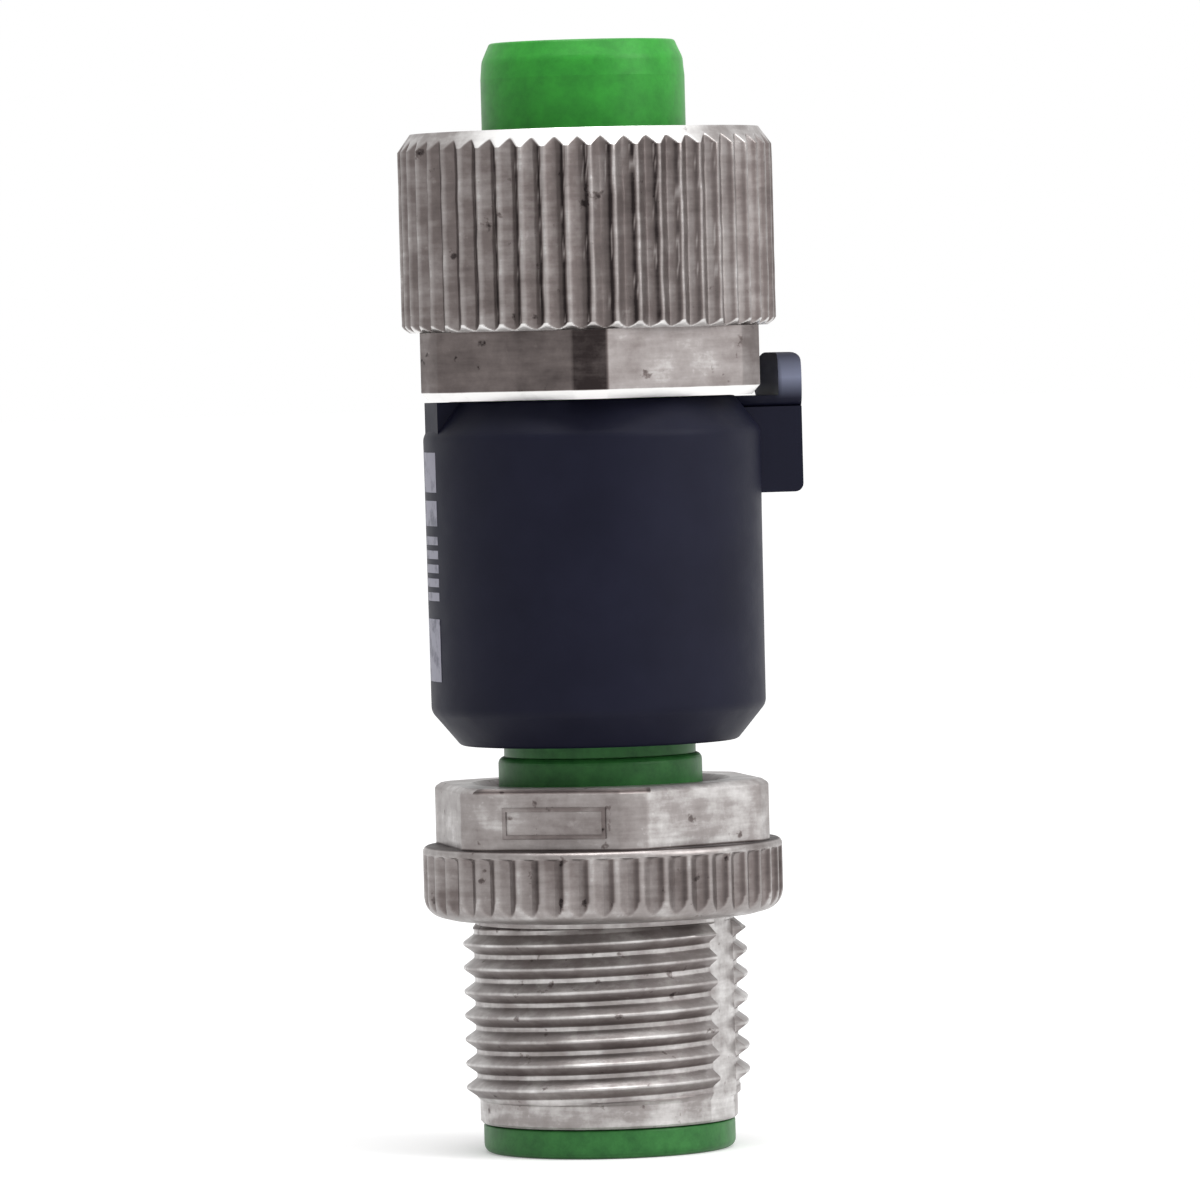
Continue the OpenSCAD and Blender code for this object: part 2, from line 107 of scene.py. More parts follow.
def finish_nodes(name, metallic, roughness):
    """A new material whose shader has these constants, with its nodes, links and shader."""
    material = bpy.data.materials.new(name)
    material.use_nodes = True
    nodes, links = material.node_tree.nodes, material.node_tree.links
    shader = nodes["Principled BSDF"]
    shader.inputs["Metallic"].default_value = metallic
    shader.inputs["Roughness"].default_value = roughness
    return material, nodes, links, shader


def grain(nodes, links, scale, detail=4.0, rough=0.55, stretch=(1, 1, 1)):
    """Noise in object coordinates; scale counts its spots per metre."""
    place = nodes.new("ShaderNodeTexCoord")
    turn = nodes.new("ShaderNodeMapping")
    turn.inputs["Scale"].default_value = stretch
    spots = nodes.new("ShaderNodeTexNoise")
    spots.inputs["Scale"].default_value = scale
    spots.inputs["Detail"].default_value = detail
    spots.inputs["Roughness"].default_value = rough
    links.new(place.outputs["Object"], turn.inputs["Vector"])
    links.new(turn.outputs["Vector"], spots.inputs["Vector"])
    return spots.outputs["Fac"]


def ramp(nodes, links, source, *stops):
    """A colour ramp driven by source, from (position, colour) stops."""
    band = nodes.new("ShaderNodeValToRGB")
    marks = band.color_ramp.elements
    for number, (position, colour) in enumerate(stops):
        mark = marks[number] if number < 2 else marks.new(position)
        mark.position = position
        mark.color = colour
    links.new(source, band.inputs["Fac"])
    return band.outputs["Color"]


def spread(nodes, links, source, low, high, from_low=0.0, from_high=1.0):
    """Maps a factor from one range to another, held at the ends."""
    scale = nodes.new("ShaderNodeMapRange")
    scale.inputs["From Min"].default_value = from_low
    scale.inputs["From Max"].default_value = from_high
    scale.inputs["To Min"].default_value = low
    scale.inputs["To Max"].default_value = high
    links.new(source, scale.inputs["Value"])
    return scale.outputs["Result"]


def bumped(nodes, links, shader, height, distance, strength=1.0):
    """Bump from a height factor, distance in metres."""
    bump = nodes.new("ShaderNodeBump")
    bump.inputs["Distance"].default_value = distance
    bump.inputs["Strength"].default_value = strength
    links.new(height, bump.inputs["Height"])
    links.new(bump.outputs["Normal"], shader.inputs["Normal"])


def moulded_black():
    material, nodes, links, shader = finish_nodes("moulded_black", 0.0, 0.5)
    shader.inputs["Specular IOR Level"].default_value = 0.12
    clouds = ramp(nodes, links, grain(nodes, links, 260, detail=3.0), (0.35, housing_black),
                  (0.8, housing_pale_grain_and_sheen))
    place = nodes.new("ShaderNodeTexCoord")
    split = nodes.new("ShaderNodeSeparateXYZ")
    links.new(place.outputs["Object"], split.inputs[0])
    # Painted highlight on the lug's head: a pale band by height, mixed in beyond the housing's
    # round.
    lug_highlight_mask = spread(nodes, links, split.outputs["X"], 0.0, 1.0, lug_start, lug_face)
    up_head = spread(nodes, links, split.outputs["Z"], 0.0, 1.0, lug_head_low,
                     lug_head_high)
    painted_head_highlight = ramp(nodes, links, up_head, (0.02, housing_black), (0.2, housing_pale_grain_and_sheen),
                (0.55, lug_painted_highlight), (0.96, housing_pale_grain_and_sheen))
    blend = nodes.new("ShaderNodeMix")
    blend.data_type = "RGBA"
    links.new(lug_highlight_mask, blend.inputs[0])
    links.new(clouds, blend.inputs[6])
    links.new(painted_head_highlight, blend.inputs[7])
    links.new(blend.outputs[2], shader.inputs["Base Color"])
    links.new(
        spread(nodes, links, grain(nodes, links, 900), 0.42, 0.6),
        shader.inputs["Roughness"])
    bumped(nodes, links, shader, grain(nodes, links, 9000, detail=2.0), 0.004 * MM, 0.8)
    return material


def dress(node_names, material):
    """Gives CAD nodes their finish."""
    for node_name in node_names:
        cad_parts[node_name].material_slots[0].material = material


dress(["housing"], moulded_black())


# ---- Print on the housing ---------------------------------------------------------------
# Pale pad print on the housing's left side, kept as plain bars. Each bar is a thin film of
# ink that follows the round surface.
housing_radius = -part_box("housing")[0].y
housing_draft = 0.05 * MM
housing_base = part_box("housing")[0].z + 1.45 * MM
housing_top = housing_base + 11.45 * MM
ink_lift = 0.004 * MM
ink_thickness = 0.014 * MM
sharp_edge_angle = radians(30)
print_middle = radians(180)
print_half_width = radians(8.2)
ink_grey = (0.30, 0.295, 0.36, 1)
ink_worn = (0.14, 0.14, 0.18, 1)
print_bars = [
    (27.6, 29.25),
    (26.2, 27.25),
    *((23.1 + 0.58 * step, 23.45 + 0.58 * step) for step in range(5)),
    (19.75, 22.35),
]


def printing_ink():
    material, nodes, links, shader = finish_nodes("printing_ink", 0.0, 0.55)
    links.new(
        ramp(nodes, links, grain(nodes, links, 1500, detail=6.0),
             (0.36, ink_worn), (0.5, ink_grey)),
        shader.inputs["Base Color"])
    bumped(nodes, links, shader, grain(nodes, links, 6000), 0.003 * MM, 0.6)
    return material


def ink_bar(bm, low, high):
    """A bar of ink between two heights in mm."""
    patch = bmesh.ops.create_grid(bm, x_segments=24, y_segments=2, size=0.5)["verts"]
    for vert in patch:
        angle = print_middle + print_half_width * 2 * vert.co.x
        height = low + (vert.co.y + 0.5) * (high - low)
        draft = housing_draft * (housing_top - height * MM) / (housing_top - housing_base)
        radius = housing_radius + ink_lift - draft
        vert.co = Vector((radius * cos(angle), radius * sin(angle), height * MM))


ink = bmesh.new()
for bar_low, bar_high in print_bars:
    ink_bar(ink, bar_low, bar_high)
bmesh.ops.recalc_face_normals(ink, faces=ink.faces)
bmesh.ops.solidify(ink, geom=ink.faces[:], thickness=ink_thickness)
bmesh.ops.recalc_face_normals(ink, faces=ink.faces)


def finished_piece(name, bm, material, body):
    """Turns a bmesh into a smooth-shaded piece with its material, riding on a body."""
    mesh = bpy.data.meshes.new(name)
    bm.to_mesh(mesh)
    bm.free()
    mesh.materials.append(material)
    mesh.shade_smooth()
    mesh.set_sharp_from_angle(angle=sharp_edge_angle)
    piece = bpy.data.objects.new(name, mesh)
    bpy.context.scene.collection.objects.link(piece)
    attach(piece, body)
    return piece


finished_piece("housing_print", ink, printing_ink(), "housing")


# ---- Inserts ----------------------------------------------------------------------------
# Both contact carriers are moulded in the same green plastic with a soft sheen. The socket's barrel
# stands clear of its nut; the plug's cup lines the coupling screw, and its green is painted darker
# as shade, where it sits between the housing and the screw.
barrel_green = (0.034, 0.320, 0.034, 1)
barrel_green_deep = (0.021, 0.215, 0.024, 1)
# The cup's greens are darker copies of the barrel's, a painted shade.
cup_green_painted_shade = (0.040, 0.195, 0.044, 1)
cup_green_deep_painted_shade = (0.018, 0.110, 0.024, 1)


def green_plastic(name, light, deep):
    material, nodes, links, shader = finish_nodes(name, 0.0, 0.4)
    shader.inputs["Specular IOR Level"].default_value = 0.25
    links.new(
        ramp(nodes, links, grain(nodes, links, 1100, detail=6.0, rough=0.7),
             (0.32, deep), (0.66, light)),
        shader.inputs["Base Color"])
    links.new(
        spread(nodes, links, grain(nodes, links, 1600), 0.34, 0.5),
        shader.inputs["Roughness"])
    bumped(nodes, links, shader, grain(nodes, links, 5200, detail=3.0), 0.004 * MM, 0.7)
    return material


dress(["socket_insert"], green_plastic("barrel_plastic", barrel_green, barrel_green_deep))
dress(["pin_insert"], green_plastic("cup_plastic", cup_green_painted_shade, cup_green_deep_painted_shade))


# ---- Contacts, leads and potting --------------------------------------------------------
# Five turned pins and five slotted sockets, gold over brass, joined inside the housing by
# short insulated leads that stand in grey potting.
gold = (0.80, 0.56, 0.20, 1)
gold_dull = (0.60, 0.40, 0.14, 1)
lead_brown = (0.30, 0.11, 0.04, 1)
lead_brown_dark = (0.22, 0.08, 0.03, 1)
potting_grey = (0.25, 0.25, 0.23, 1)
potting_light = (0.32, 0.32, 0.30, 1)


def spotted(name, metallic, roughness, light, deep, scale, depth):
    material, nodes, links, shader = finish_nodes(name, metallic, roughness)
    links.new(
        ramp(nodes, links, grain(nodes, links, scale), (0.3, deep), (0.7, light)),
        shader.inputs["Base Color"])
    links.new(
        spread(nodes, links, grain(nodes, links, scale * 3), roughness - 0.07,
               roughness + 0.09),
        shader.inputs["Roughness"])
    bumped(nodes, links, shader, grain(nodes, links, scale * 6), depth, 0.6)
    return material


contact_numbers = range(1, 6)
dress([f"contact_pin_{n}" for n in contact_numbers]
      + [f"socket_contact_{n}" for n in contact_numbers],
      spotted("gold_plating", 1.0, 0.24, gold, gold_dull, 900, 0.002 * MM))
dress([f"link_wire_{n}" for n in contact_numbers],
      spotted("lead_insulation", 0.0, 0.45, lead_brown, lead_brown_dark, 700, 0.003 * MM))
dress(["inner_core"],
      spotted("potting", 0.0, 0.6, potting_light, potting_grey, 500, 0.01 * MM))


# ---- Rubber rings -----------------------------------------------------------------------
# A red face seal lies on the barrel's flange; two black brake rings sit in grooves inside
# the nut and the screw.
seal_red = (0.42, 0.045, 0.03, 1)
seal_red_dark = (0.30, 0.03, 0.02, 1)
ring_black = (0.022, 0.022, 0.022, 1)
ring_dusty = (0.04, 0.04, 0.04, 1)

dress(["face_seal"],
      spotted("seal_rubber", 0.0, 0.55, seal_red, seal_red_dark, 800, 0.004 * MM))
dress(["nut_brake_ring", "screw_brake_ring"],
      spotted("ring_rubber", 0.0, 0.6, ring_dusty, ring_black, 800, 0.004 * MM))


# ---- Coupling nut -----------------------------------------------------------------------
# A turned brass nut with a dull nickel plate: a fluted grip, a hexagon below it, and the M12 x 1
# thread inside. The plate is scuffed on the ribs and grey with dirt in the flutes; a painted shade
# darkens the flute wall that faces away from the right lamp, the bevels carry painted highlights,
# and each hexagon flat has its own painted brightness.
nickel_bright = (0.82, 0.81, 0.80, 1)
nickel_light = (0.30, 0.275, 0.268, 1)
nickel = (0.150, 0.126, 0.121, 1)
# The darkest tone serves for dirt and pits and for painted shade.
nickel_grime_and_shade = (0.022, 0.016, 0.016, 1)
nut_low, nut_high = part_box("coupling_nut")
nut_radius = nut_high.y
nut_base, nut_top = nut_low.z, nut_high.z
grip_base = nut_base + 2.85 * MM
nut_hex_width = 14.0 * MM
nut_hex_turn = radians(16.2)
nut_corner = 7.7 * MM
nut_flutes = 50
nut_flute_depth = 0.30 * MM
nut_bevel_height = 0.75 * MM
nut_bevel_width = 0.55 * MM
nut_bore_radius = 5.46 * MM
nut_root_radius = 6.05 * MM
lip_radius = 4.6 * MM
lip_top = nut_base + 1.94 * MM
nut_undercut_low = lip_top + 0.4 * MM
nut_thread_low, nut_thread_high = lip_top + 1.6 * MM, nut_top - 0.6 * MM
brake_groove_radius = 5.1 * MM
brake_groove_low = nut_base + 0.55 * MM
brake_groove_high = nut_base + 1.45 * MM
thread_pitch = 1.0 * MM
nut_segments = 900
nut_ridge = 0.12
flute_curve = 1.3
rib_wander = radians(0.24)
grip_foot_height = 0.32 * MM
grip_foot_inset = 0.35 * MM
grip_foot_curve = 1.6
nut_front = -104.0


def first_ring(bm, segments, row):
    """Starts a turned surface with a circle laid on a row."""
    bmesh.ops.create_circle(bm, segments=segments, radius=1.0)
    lay_on_row(bm.verts, segments, row)
    return bm.edges[:]


def lay_on_row(verts, segments, row):
    """Moves a ring's corners to the radius and height that a row gives for their angles."""
    step = 2 * pi / segments
    for vert in verts:
        angle = (round(atan2(vert.co.y, vert.co.x) / step) % segments) * step
        radius, height = row(angle)
        vert.co = Vector((radius * cos(angle), radius * sin(angle), height))


def next_ring(bm, edges, segments, row):
    """Extrudes the open edge of a turned surface to its next row."""
    grown = bmesh.ops.extrude_edge_only(bm, edges=edges)["geom"]
    lay_on_row([g for g in grown if isinstance(g, bmesh.types.BMVert)], segments, row)
    return [g for g in grown if isinstance(g, bmesh.types.BMEdge) and g.is_boundary]


def turned_surface(segments, rows):
    """A closed surface of revolution whose rows may vary round the axis."""
    bm = bmesh.new()
    edges = first_ring(bm, segments, rows[0])
    for row in rows[1:] + rows[:1]:
        edges = next_ring(bm, edges, segments, row)
    bmesh.ops.remove_doubles(bm, verts=bm.verts, dist=0.0005 * MM)
    bmesh.ops.dissolve_degenerate(bm, edges=bm.edges, dist=0.0002 * MM)
    bmesh.ops.recalc_face_normals(bm, faces=bm.faces)
    return bm


def round_row(radius, height):
    return lambda angle: (radius, height)


def hexagon_radius(angle, width, corner_radius, turn):
    """Radius of a hexagon with turned corners."""
    off = (angle - turn) % radians(60) - radians(30)
    return min(width / 2 / cos(off), corner_radius)


def hexagon_row(width, corner_radius, turn, height):
    return lambda angle: (hexagon_radius(angle, width, corner_radius, turn), height)


def across_flute(angle, flutes, ridge):
    """Place across a flute, from -1 to 1 at its edges and beyond them on the ridges."""
    pitch = 2 * pi / flutes
    return ((angle + pitch / 2) % pitch - pitch / 2) / (pitch / 2 * (1 - ridge))


def flute_radius(angle, outer, flutes, depth, ridge):
    """Radius of a round bar with shallow flutes that are deepest in the middle."""
    across = abs(across_flute(angle, flutes, ridge))
    return outer if across >= 1 else outer - depth * (1 - across ** flute_curve)


def inner_thread_rows(low, high, crest, root):
    """Rows of a right-hand thread in a bore, from its mouth down, each one a helix."""
    rows = []
    turns = int((high - low) / thread_pitch) + 2
    for turn in range(turns, -2, -1):
        for share, radius in ((0.93, crest), (0.60, root), (0.40, root), (0.07, crest)):
            def row(angle, turn=turn, share=share, radius=radius):
                height = low + thread_pitch * (turn + share + angle / (2 * pi) - 1)
                if height <= low or height >= high:
                    return crest, min(max(height, low), high)
                return radius, height
            rows.append(row)
    return rows


def wander(angle, height):
    """Ribs of the worn grip run slightly crooked."""
    return rib_wander * noise.noise(
        Vector((cos(angle) * 9, sin(angle) * 9, height / MM * 1.1)))


def nut_grip_row(envelope, height):
    def row(angle):
        scuff = 0.03 * MM * noise.noise(Vector((cos(angle), sin(angle), height / MM / 9)) * 9)
        ribs = flute_radius(angle - nut_hex_turn + wander(angle, height), nut_radius, nut_flutes,
                            nut_flute_depth, nut_ridge)
        return min(ribs - max(scuff, 0), envelope), height
    return row


grip_rows = []
for step in range(0, 8):
    grip_rows.append(nut_grip_row(
        nut_radius - grip_foot_inset * (1 - step / 7) ** grip_foot_curve,
        grip_base + grip_foot_height * step / 7))
grip_straight = nut_top - nut_bevel_height - grip_base - grip_foot_height
for step in range(1, 19):
    grip_rows.append(nut_grip_row(
        nut_radius, grip_base + grip_foot_height + grip_straight * step / 18))
for step in range(1, 19):
    grip_rows.append(nut_grip_row(
        nut_radius - nut_bevel_width * step / 18,
        nut_top - nut_bevel_height * (1 - step / 18)))

nut_rows = [
    round_row(lip_radius, nut_base),
    hexagon_row(nut_hex_width - 0.7 * MM, nut_corner - 0.35 * MM, nut_hex_turn, nut_base),
    hexagon_row(nut_hex_width - 0.06 * MM, nut_corner - 0.03 * MM, nut_hex_turn,
                nut_base + 0.35 * MM),
    hexagon_row(nut_hex_width, nut_corner, nut_hex_turn, nut_base + 0.40 * MM),
    hexagon_row(nut_hex_width, nut_corner, nut_hex_turn, nut_base + 0.44 * MM),
    hexagon_row(nut_hex_width, nut_corner, nut_hex_turn, grip_base),
    *grip_rows,
    round_row(nut_radius - nut_bevel_width - 0.06 * MM, nut_top),
    round_row(nut_root_radius + 0.05 * MM, nut_top),
    round_row(nut_bore_radius, nut_thread_high),
    *inner_thread_rows(nut_thread_low, nut_thread_high, nut_bore_radius, nut_root_radius),
    round_row(nut_bore_radius, nut_thread_low),
    round_row(nut_root_radius, nut_thread_low),
    round_row(nut_root_radius, nut_undercut_low),
    round_row(nut_bore_radius, nut_undercut_low),
    round_row(nut_bore_radius, lip_top),
    round_row(lip_radius, lip_top),
    round_row(lip_radius, brake_groove_high),
    round_row(brake_groove_radius, brake_groove_high),
    round_row(brake_groove_radius, brake_groove_low),
    round_row(lip_radius, brake_groove_low),
]


def worn_nickel_and_painted_light(name):
    """Worn nickel plate whose attribute wear_and_painted_light runs from 0, dark with dirt and
    painted shade, to 1, bright with rubbing and painted highlights.
    """
    material, nodes, links, shader = finish_nodes(name, 0.85, 0.36)

    def added(first, second):
        join = nodes.new("ShaderNodeMath")
        join.operation = "ADD"
        links.new(first, join.inputs[0])
        links.new(second, join.inputs[1])
        return join.outputs[0]

    wear_and_painted_light = nodes.new("ShaderNodeAttribute")
    wear_and_painted_light.attribute_name = "wear_and_painted_light"
    clouds = spread(nodes, links, grain(nodes, links, 520, detail=6.0, rough=0.65),
                    -0.12, 0.12, 0.3, 0.7)
    brushing = spread(nodes, links, grain(nodes, links, 420, detail=6.0, stretch=(1, 1, 7)),
                      -0.06, 0.06, 0.3, 0.7)
    nicks = spread(nodes, links, grain(nodes, links, 1900, detail=3.0), 0.0, 0.08, 0.66, 0.76)
    pits = spread(nodes, links, grain(nodes, links, 1250, detail=4.0), -0.35, 0.0, 0.27, 0.34)
    level = added(added(wear_and_painted_light.outputs["Fac"], added(clouds, brushing)), added(nicks, pits))
    links.new(
        ramp(nodes, links, level, (0.05, nickel_grime_and_shade), (0.45, nickel), (0.68, nickel_light),
             (0.98, nickel_bright)),
        shader.inputs["Base Color"])
    links.new(spread(nodes, links, level, 0.55, 0.30), shader.inputs["Roughness"])
    bumped(nodes, links, shader, added(grain(nodes, links, 3200, detail=5.0), nicks),
           0.012 * MM, 0.7)
    return material


def mark_wear_and_painted_light(piece, wear_at):
    """Writes the level of wear, dirt and painted light and shade at each corner of the mesh."""
    wear_and_painted_light = piece.data.attributes.new("wear_and_painted_light", "FLOAT", "POINT")
    wear_and_painted_light.data.foreach_set("value", [wear_at(v.co) for v in piece.data.vertices])


def between(value, *marks):
    """Straight-line interpolation through (place, level) marks."""
    for (low, first), (high, second) in zip(marks, marks[1:]):
        if value <= high:
            return first + (second - first) * max(0.0, value - low) / (high - low)
    return marks[-1][1]


def flute_dirt_and_painted_shade(angle, flutes, ridge):
    """Flute floors are a little darker with dirt, a painted shade darkens the wall that faces away
    from the right lamp, and the ridges are rubbed.
    """
    return between(across_flute(angle, flutes, ridge), (-1.1, 0.66), (-0.95, 0.64), (-0.7, 0.48),
                   (0.2, 0.46), (0.5, 0.38), (0.68, 0.06), (0.88, 0.02), (0.98, 0.34), (1.1, 0.66))


def nut_wear_and_painted_light(place):
    radius, angle = hypot(place.x, place.y), atan2(place.y, place.x)
    # In the bore the plate is darker deeper down.
    if radius < nut_root_radius + 0.1 * MM:
        return 0.4 if place.z < nut_top - 0.7 * MM else 0.6
    # The hexagon's lower bevel is painted bright as a highlight.
    if place.z < nut_base + 0.36 * MM:
        return 1.05
    off = (degrees(angle) - nut_front + 180) % 360 - 180
    on_hexagon = radius - hexagon_radius(angle, nut_hex_width, nut_corner, nut_hex_turn)
    # Each hexagon flat has its own painted brightness for the light that falls on it, and the
    # corner that faces the camera carries a painted dark line as shade.
    if place.z < grip_base + 0.01 * MM and abs(on_hexagon) < 0.02 * MM:
        flat = degrees(angle - nut_hex_turn + radians(120)) % 360
        return between(flat, (0, 0.05), (4.8, 0.10), (5.6, 0.62), (54, 0.60), (60, 0.50),
                       (300, 0.45), (306, 0.36), (330, 0.34), (354, 0.32), (355, 0.08), (360, 0.05))
    # Towards the right side the flute pattern fades to an even grey.
    flute_pattern_share = between(off, (-180, 1.0), (12, 1.0), (50, 0.4), (100, 0.4), (180, 1.0))
    level = flute_dirt_and_painted_shade(angle - nut_hex_turn + wander(angle, place.z), nut_flutes, nut_ridge)
    level = level * flute_pattern_share + 0.68 * (1 - flute_pattern_share)
    # The top bevel is painted bright as a highlight, brightest where it faces the camera.
    bevel = between(abs(off), (0, 1.0), (32, 1.0), (46, 0.72), (180, 0.72))
    if place.z > nut_top - 0.01 * MM and radius < nut_radius - nut_bevel_width - 0.03 * MM:
        return 0.68
    if place.z > nut_top - nut_bevel_height:
        rim = nut_radius - nut_bevel_width * (1 - (nut_top - place.z) / nut_bevel_height)
        return between((rim - radius) / MM, (0.0, bevel), (0.02, bevel - 0.05), (0.06, level))
    if place.z > grip_base + 0.30 * MM:
        chatter = noise.noise(Vector((angle * 90, 0, place.z / MM * 1.6)))
        return 0.62 if chatter > 0.34 and level < 0.4 else level
    # The grip's foot is painted bright along its edge as a highlight.
    if place.z > grip_base - 0.01 * MM:
        below = 1 - (place.z - grip_base) / grip_foot_height
        rim = nut_radius - grip_foot_inset * below ** grip_foot_curve
        return between((rim - radius) / MM, (0.0, 0.85), (0.02, 0.8), (0.06, level))
    return level


nickel_plate = worn_nickel_and_painted_light("nickel_plate")
nut = finished_piece("coupling_nut_turned", turned_surface(nut_segments, nut_rows),
                     nickel_plate, "nut")
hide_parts("coupling_nut")
mark_wear_and_painted_light(nut, nut_wear_and_painted_light)


# ---- Coupling screw ---------------------------------------------------------------------
# A turned brass screw with the same plate: plain lead, M12 x 1 thread with two grooves along
# it, a fluted grip ring and a low hexagon. One flat carries a bare raised frame.
screw_low, screw_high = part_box("coupling_screw")
screw_base, screw_top = screw_low.z, screw_high.z
screw_bore = 5.0 * MM
screw_groove_radius = 5.15 * MM
lead_radius = 5.375 * MM
thread_base = screw_base + 0.95 * MM
ring_base = thread_base + 7.6 * MM
hex_base = ring_base + 3.05 * MM
screw_groove_low = hex_base + 0.65 * MM
screw_groove_high = hex_base + 1.55 * MM
thread_crest = 5.925 * MM
thread_root = 5.47 * MM
ring_radius = screw_high.y
ring_bevel = 0.9 * MM
ring_bevel_base = ring_base + 0.05 * MM
ring_shoulder = hex_base - 0.30 * MM
ring_flute_end = 0.35 * MM
ring_rounding = 0.25 * MM
ring_flutes = 45
ring_flute_depth = 0.26 * MM
screw_hex_width = 13.0 * MM
screw_hex_corner = 7.2 * MM
screw_hex_turn = radians(26.75)
groove_middle = radians(140)
groove_half = radians(12)
thread_crest_height = 8.72 * MM
thread_crest_angle = radians(166)
screw_segments = 720
ring_ridge = 0.16
frame_width, frame_height = 4.5 * MM, 1.3 * MM
frame_bar, frame_depth, frame_rise = 0.17 * MM, 0.12 * MM, 0.10 * MM


def past_groove(angle):
    """Share of a turn past the first groove, where each thread row starts and ends."""
    return ((angle - groove_middle) / (2 * pi) + 1e-9) % 1.0


def from_groove(angle):
    """Signed angle from the middle of the nearer groove."""
    return (angle - groove_middle + radians(90)) % pi - radians(90)


def outer_thread_rows(low, high):
    """Rows of a right-hand thread on a shaft, upwards, each one a helix."""
    rows = []
    turns = int((high - low) / thread_pitch) + 2
    start = thread_crest_height - thread_pitch * past_groove(thread_crest_angle) - low
    start = start % thread_pitch - thread_pitch
    tip = thread_crest - 0.04 * MM
    foot = thread_root + 0.04 * MM
    shape = ((-0.09, tip), (-0.03, thread_crest), (0.03, thread_crest), (0.09, tip),
             (0.36, foot), (0.42, thread_root), (0.58, thread_root), (0.64, foot))
    for turn in range(-1, turns):
        for share, radius in shape:
            def row(angle, turn=turn, share=share, radius=radius):
                height = low + start + thread_pitch * (turn + share + past_groove(angle))
                if height <= low or height >= high:
                    return lead_radius, min(max(height, low), high)
                radius = min(radius, lead_radius + min(height - low, high - height) * 1.2)
                off = from_groove(angle)
                if abs(off) < groove_half:
                    radius = min(radius, lead_radius / cos(off))
                return radius, height
            rows.append(row)
    return rows


def ring_row(envelope, height, depth=1.0):
    def row(angle):
        worn = 0.5 + 0.5 * cos(angle - radians(150))
        kept = depth * (1 - 0.7 * max(0.0, worn - 0.86) / 0.14)
        ribs = flute_radius(angle, ring_radius, ring_flutes, ring_flute_depth, ring_ridge)
        return min(ring_radius - (ring_radius - ribs) * kept, envelope), height
    return row


ring_rows = [round_row(ring_radius - ring_bevel - 0.08 * MM, ring_base)]
for step in range(0, 17):
    slope = radians(90) * step / 16
    ring_rows.append(ring_row(
        ring_radius - ring_bevel * (1 - sin(slope)),
        ring_bevel_base + ring_bevel * (1 - cos(slope))))
flute_low, flute_high = ring_bevel_base + ring_bevel, ring_shoulder - ring_flute_end
for share in (0.33, 0.66, 1.0):
    ring_rows.append(ring_row(ring_radius, flute_low + (flute_high - flute_low) * share))
for step in range(1, 6):
    slope = radians(90) * step / 5
    ring_rows.append(ring_row(
        ring_radius, flute_high + ring_flute_end * sin(slope), cos(slope)))
for step in range(0, 5):
    slope = radians(90) * step / 4
    ring_rows.append(round_row(
        ring_radius - ring_rounding * (1 - cos(slope)),
        hex_base - ring_rounding * (1 - sin(slope))))

screw_rows = [
    round_row(screw_bore, screw_base),
    round_row(lead_radius - 0.1 * MM, screw_base),
    round_row(lead_radius, screw_base + 0.1 * MM),
    round_row(lead_radius, thread_base),
    *outer_thread_rows(thread_base, ring_base - 0.25 * MM),
    round_row(lead_radius, ring_base - 0.25 * MM),
    round_row(lead_radius, ring_base),
    *ring_rows,
    hexagon_row(screw_hex_width, screw_hex_corner, screw_hex_turn, hex_base),
    hexagon_row(screw_hex_width, screw_hex_corner, screw_hex_turn, hex_base + 0.08 * MM),
    hexagon_row(screw_hex_width, screw_hex_corner, screw_hex_turn, screw_top - 0.24 * MM),
    hexagon_row(screw_hex_width - 0.12 * MM, screw_hex_corner - 0.06 * MM, screw_hex_turn,
                screw_top - 0.14 * MM),
    hexagon_row(screw_hex_width - 0.5 * MM, screw_hex_corner - 0.3 * MM, screw_hex_turn,
                screw_top),
    round_row(screw_bore + 0.4 * MM, screw_top),
    round_row(screw_bore, screw_top - 0.3 * MM),
    round_row(screw_bore, screw_groove_high),
    round_row(screw_groove_radius, screw_groove_high),
    round_row(screw_groove_radius, screw_groove_low),
    round_row(screw_bore, screw_groove_low),
]


def raised_frame():
    """A bare raised rectangle on the hexagon's front flat."""
    bm = bmesh.new()
    bmesh.ops.create_grid(bm, x_segments=1, y_segments=1, size=0.5)
    bmesh.ops.scale(bm, vec=(frame_width, frame_height, 1), verts=bm.verts)
    bmesh.ops.inset_region(bm, faces=bm.faces[:], thickness=frame_bar, use_boundary=True,
                           use_even_offset=True)
    middle_face = max(bm.faces, key=lambda f: f.calc_area())
    bmesh.ops.delete(bm, geom=[middle_face], context="FACES")
    bmesh.ops.solidify(bm, geom=bm.faces[:], thickness=frame_depth)
    bmesh.ops.recalc_face_normals(bm, faces=bm.faces)
    face_height = max(v.co.z for v in bm.verts)
    bmesh.ops.translate(bm, verts=bm.verts, vec=(0, 0, frame_rise - face_height))
    bmesh.ops.bevel(bm, geom=bm.edges[:], offset=0.025 * MM, segments=2, profile=0.5,
                    affect="EDGES", material=-1)
    stand = (Matrix.Rotation(screw_hex_turn - radians(150), 4, "Z")
             @ Matrix.Translation((screw_hex_width / 2, 0.2 * MM,
                                   hex_base + (screw_top - hex_base) * 0.44))
             @ Matrix.Rotation(radians(90), 4, "Y") @ Matrix.Rotation(radians(90), 4, "Z"))
    bmesh.ops.transform(bm, matrix=stand, verts=bm.verts)
    return bm


def thread_share(place):
    """Place within the thread's pitch, 0 at a crest and growing upwards."""
    crest = thread_crest_height / thread_pitch - past_groove(thread_crest_angle)
    return (place.z / thread_pitch - crest - past_groove(atan2(place.y, place.x))) % 1.0


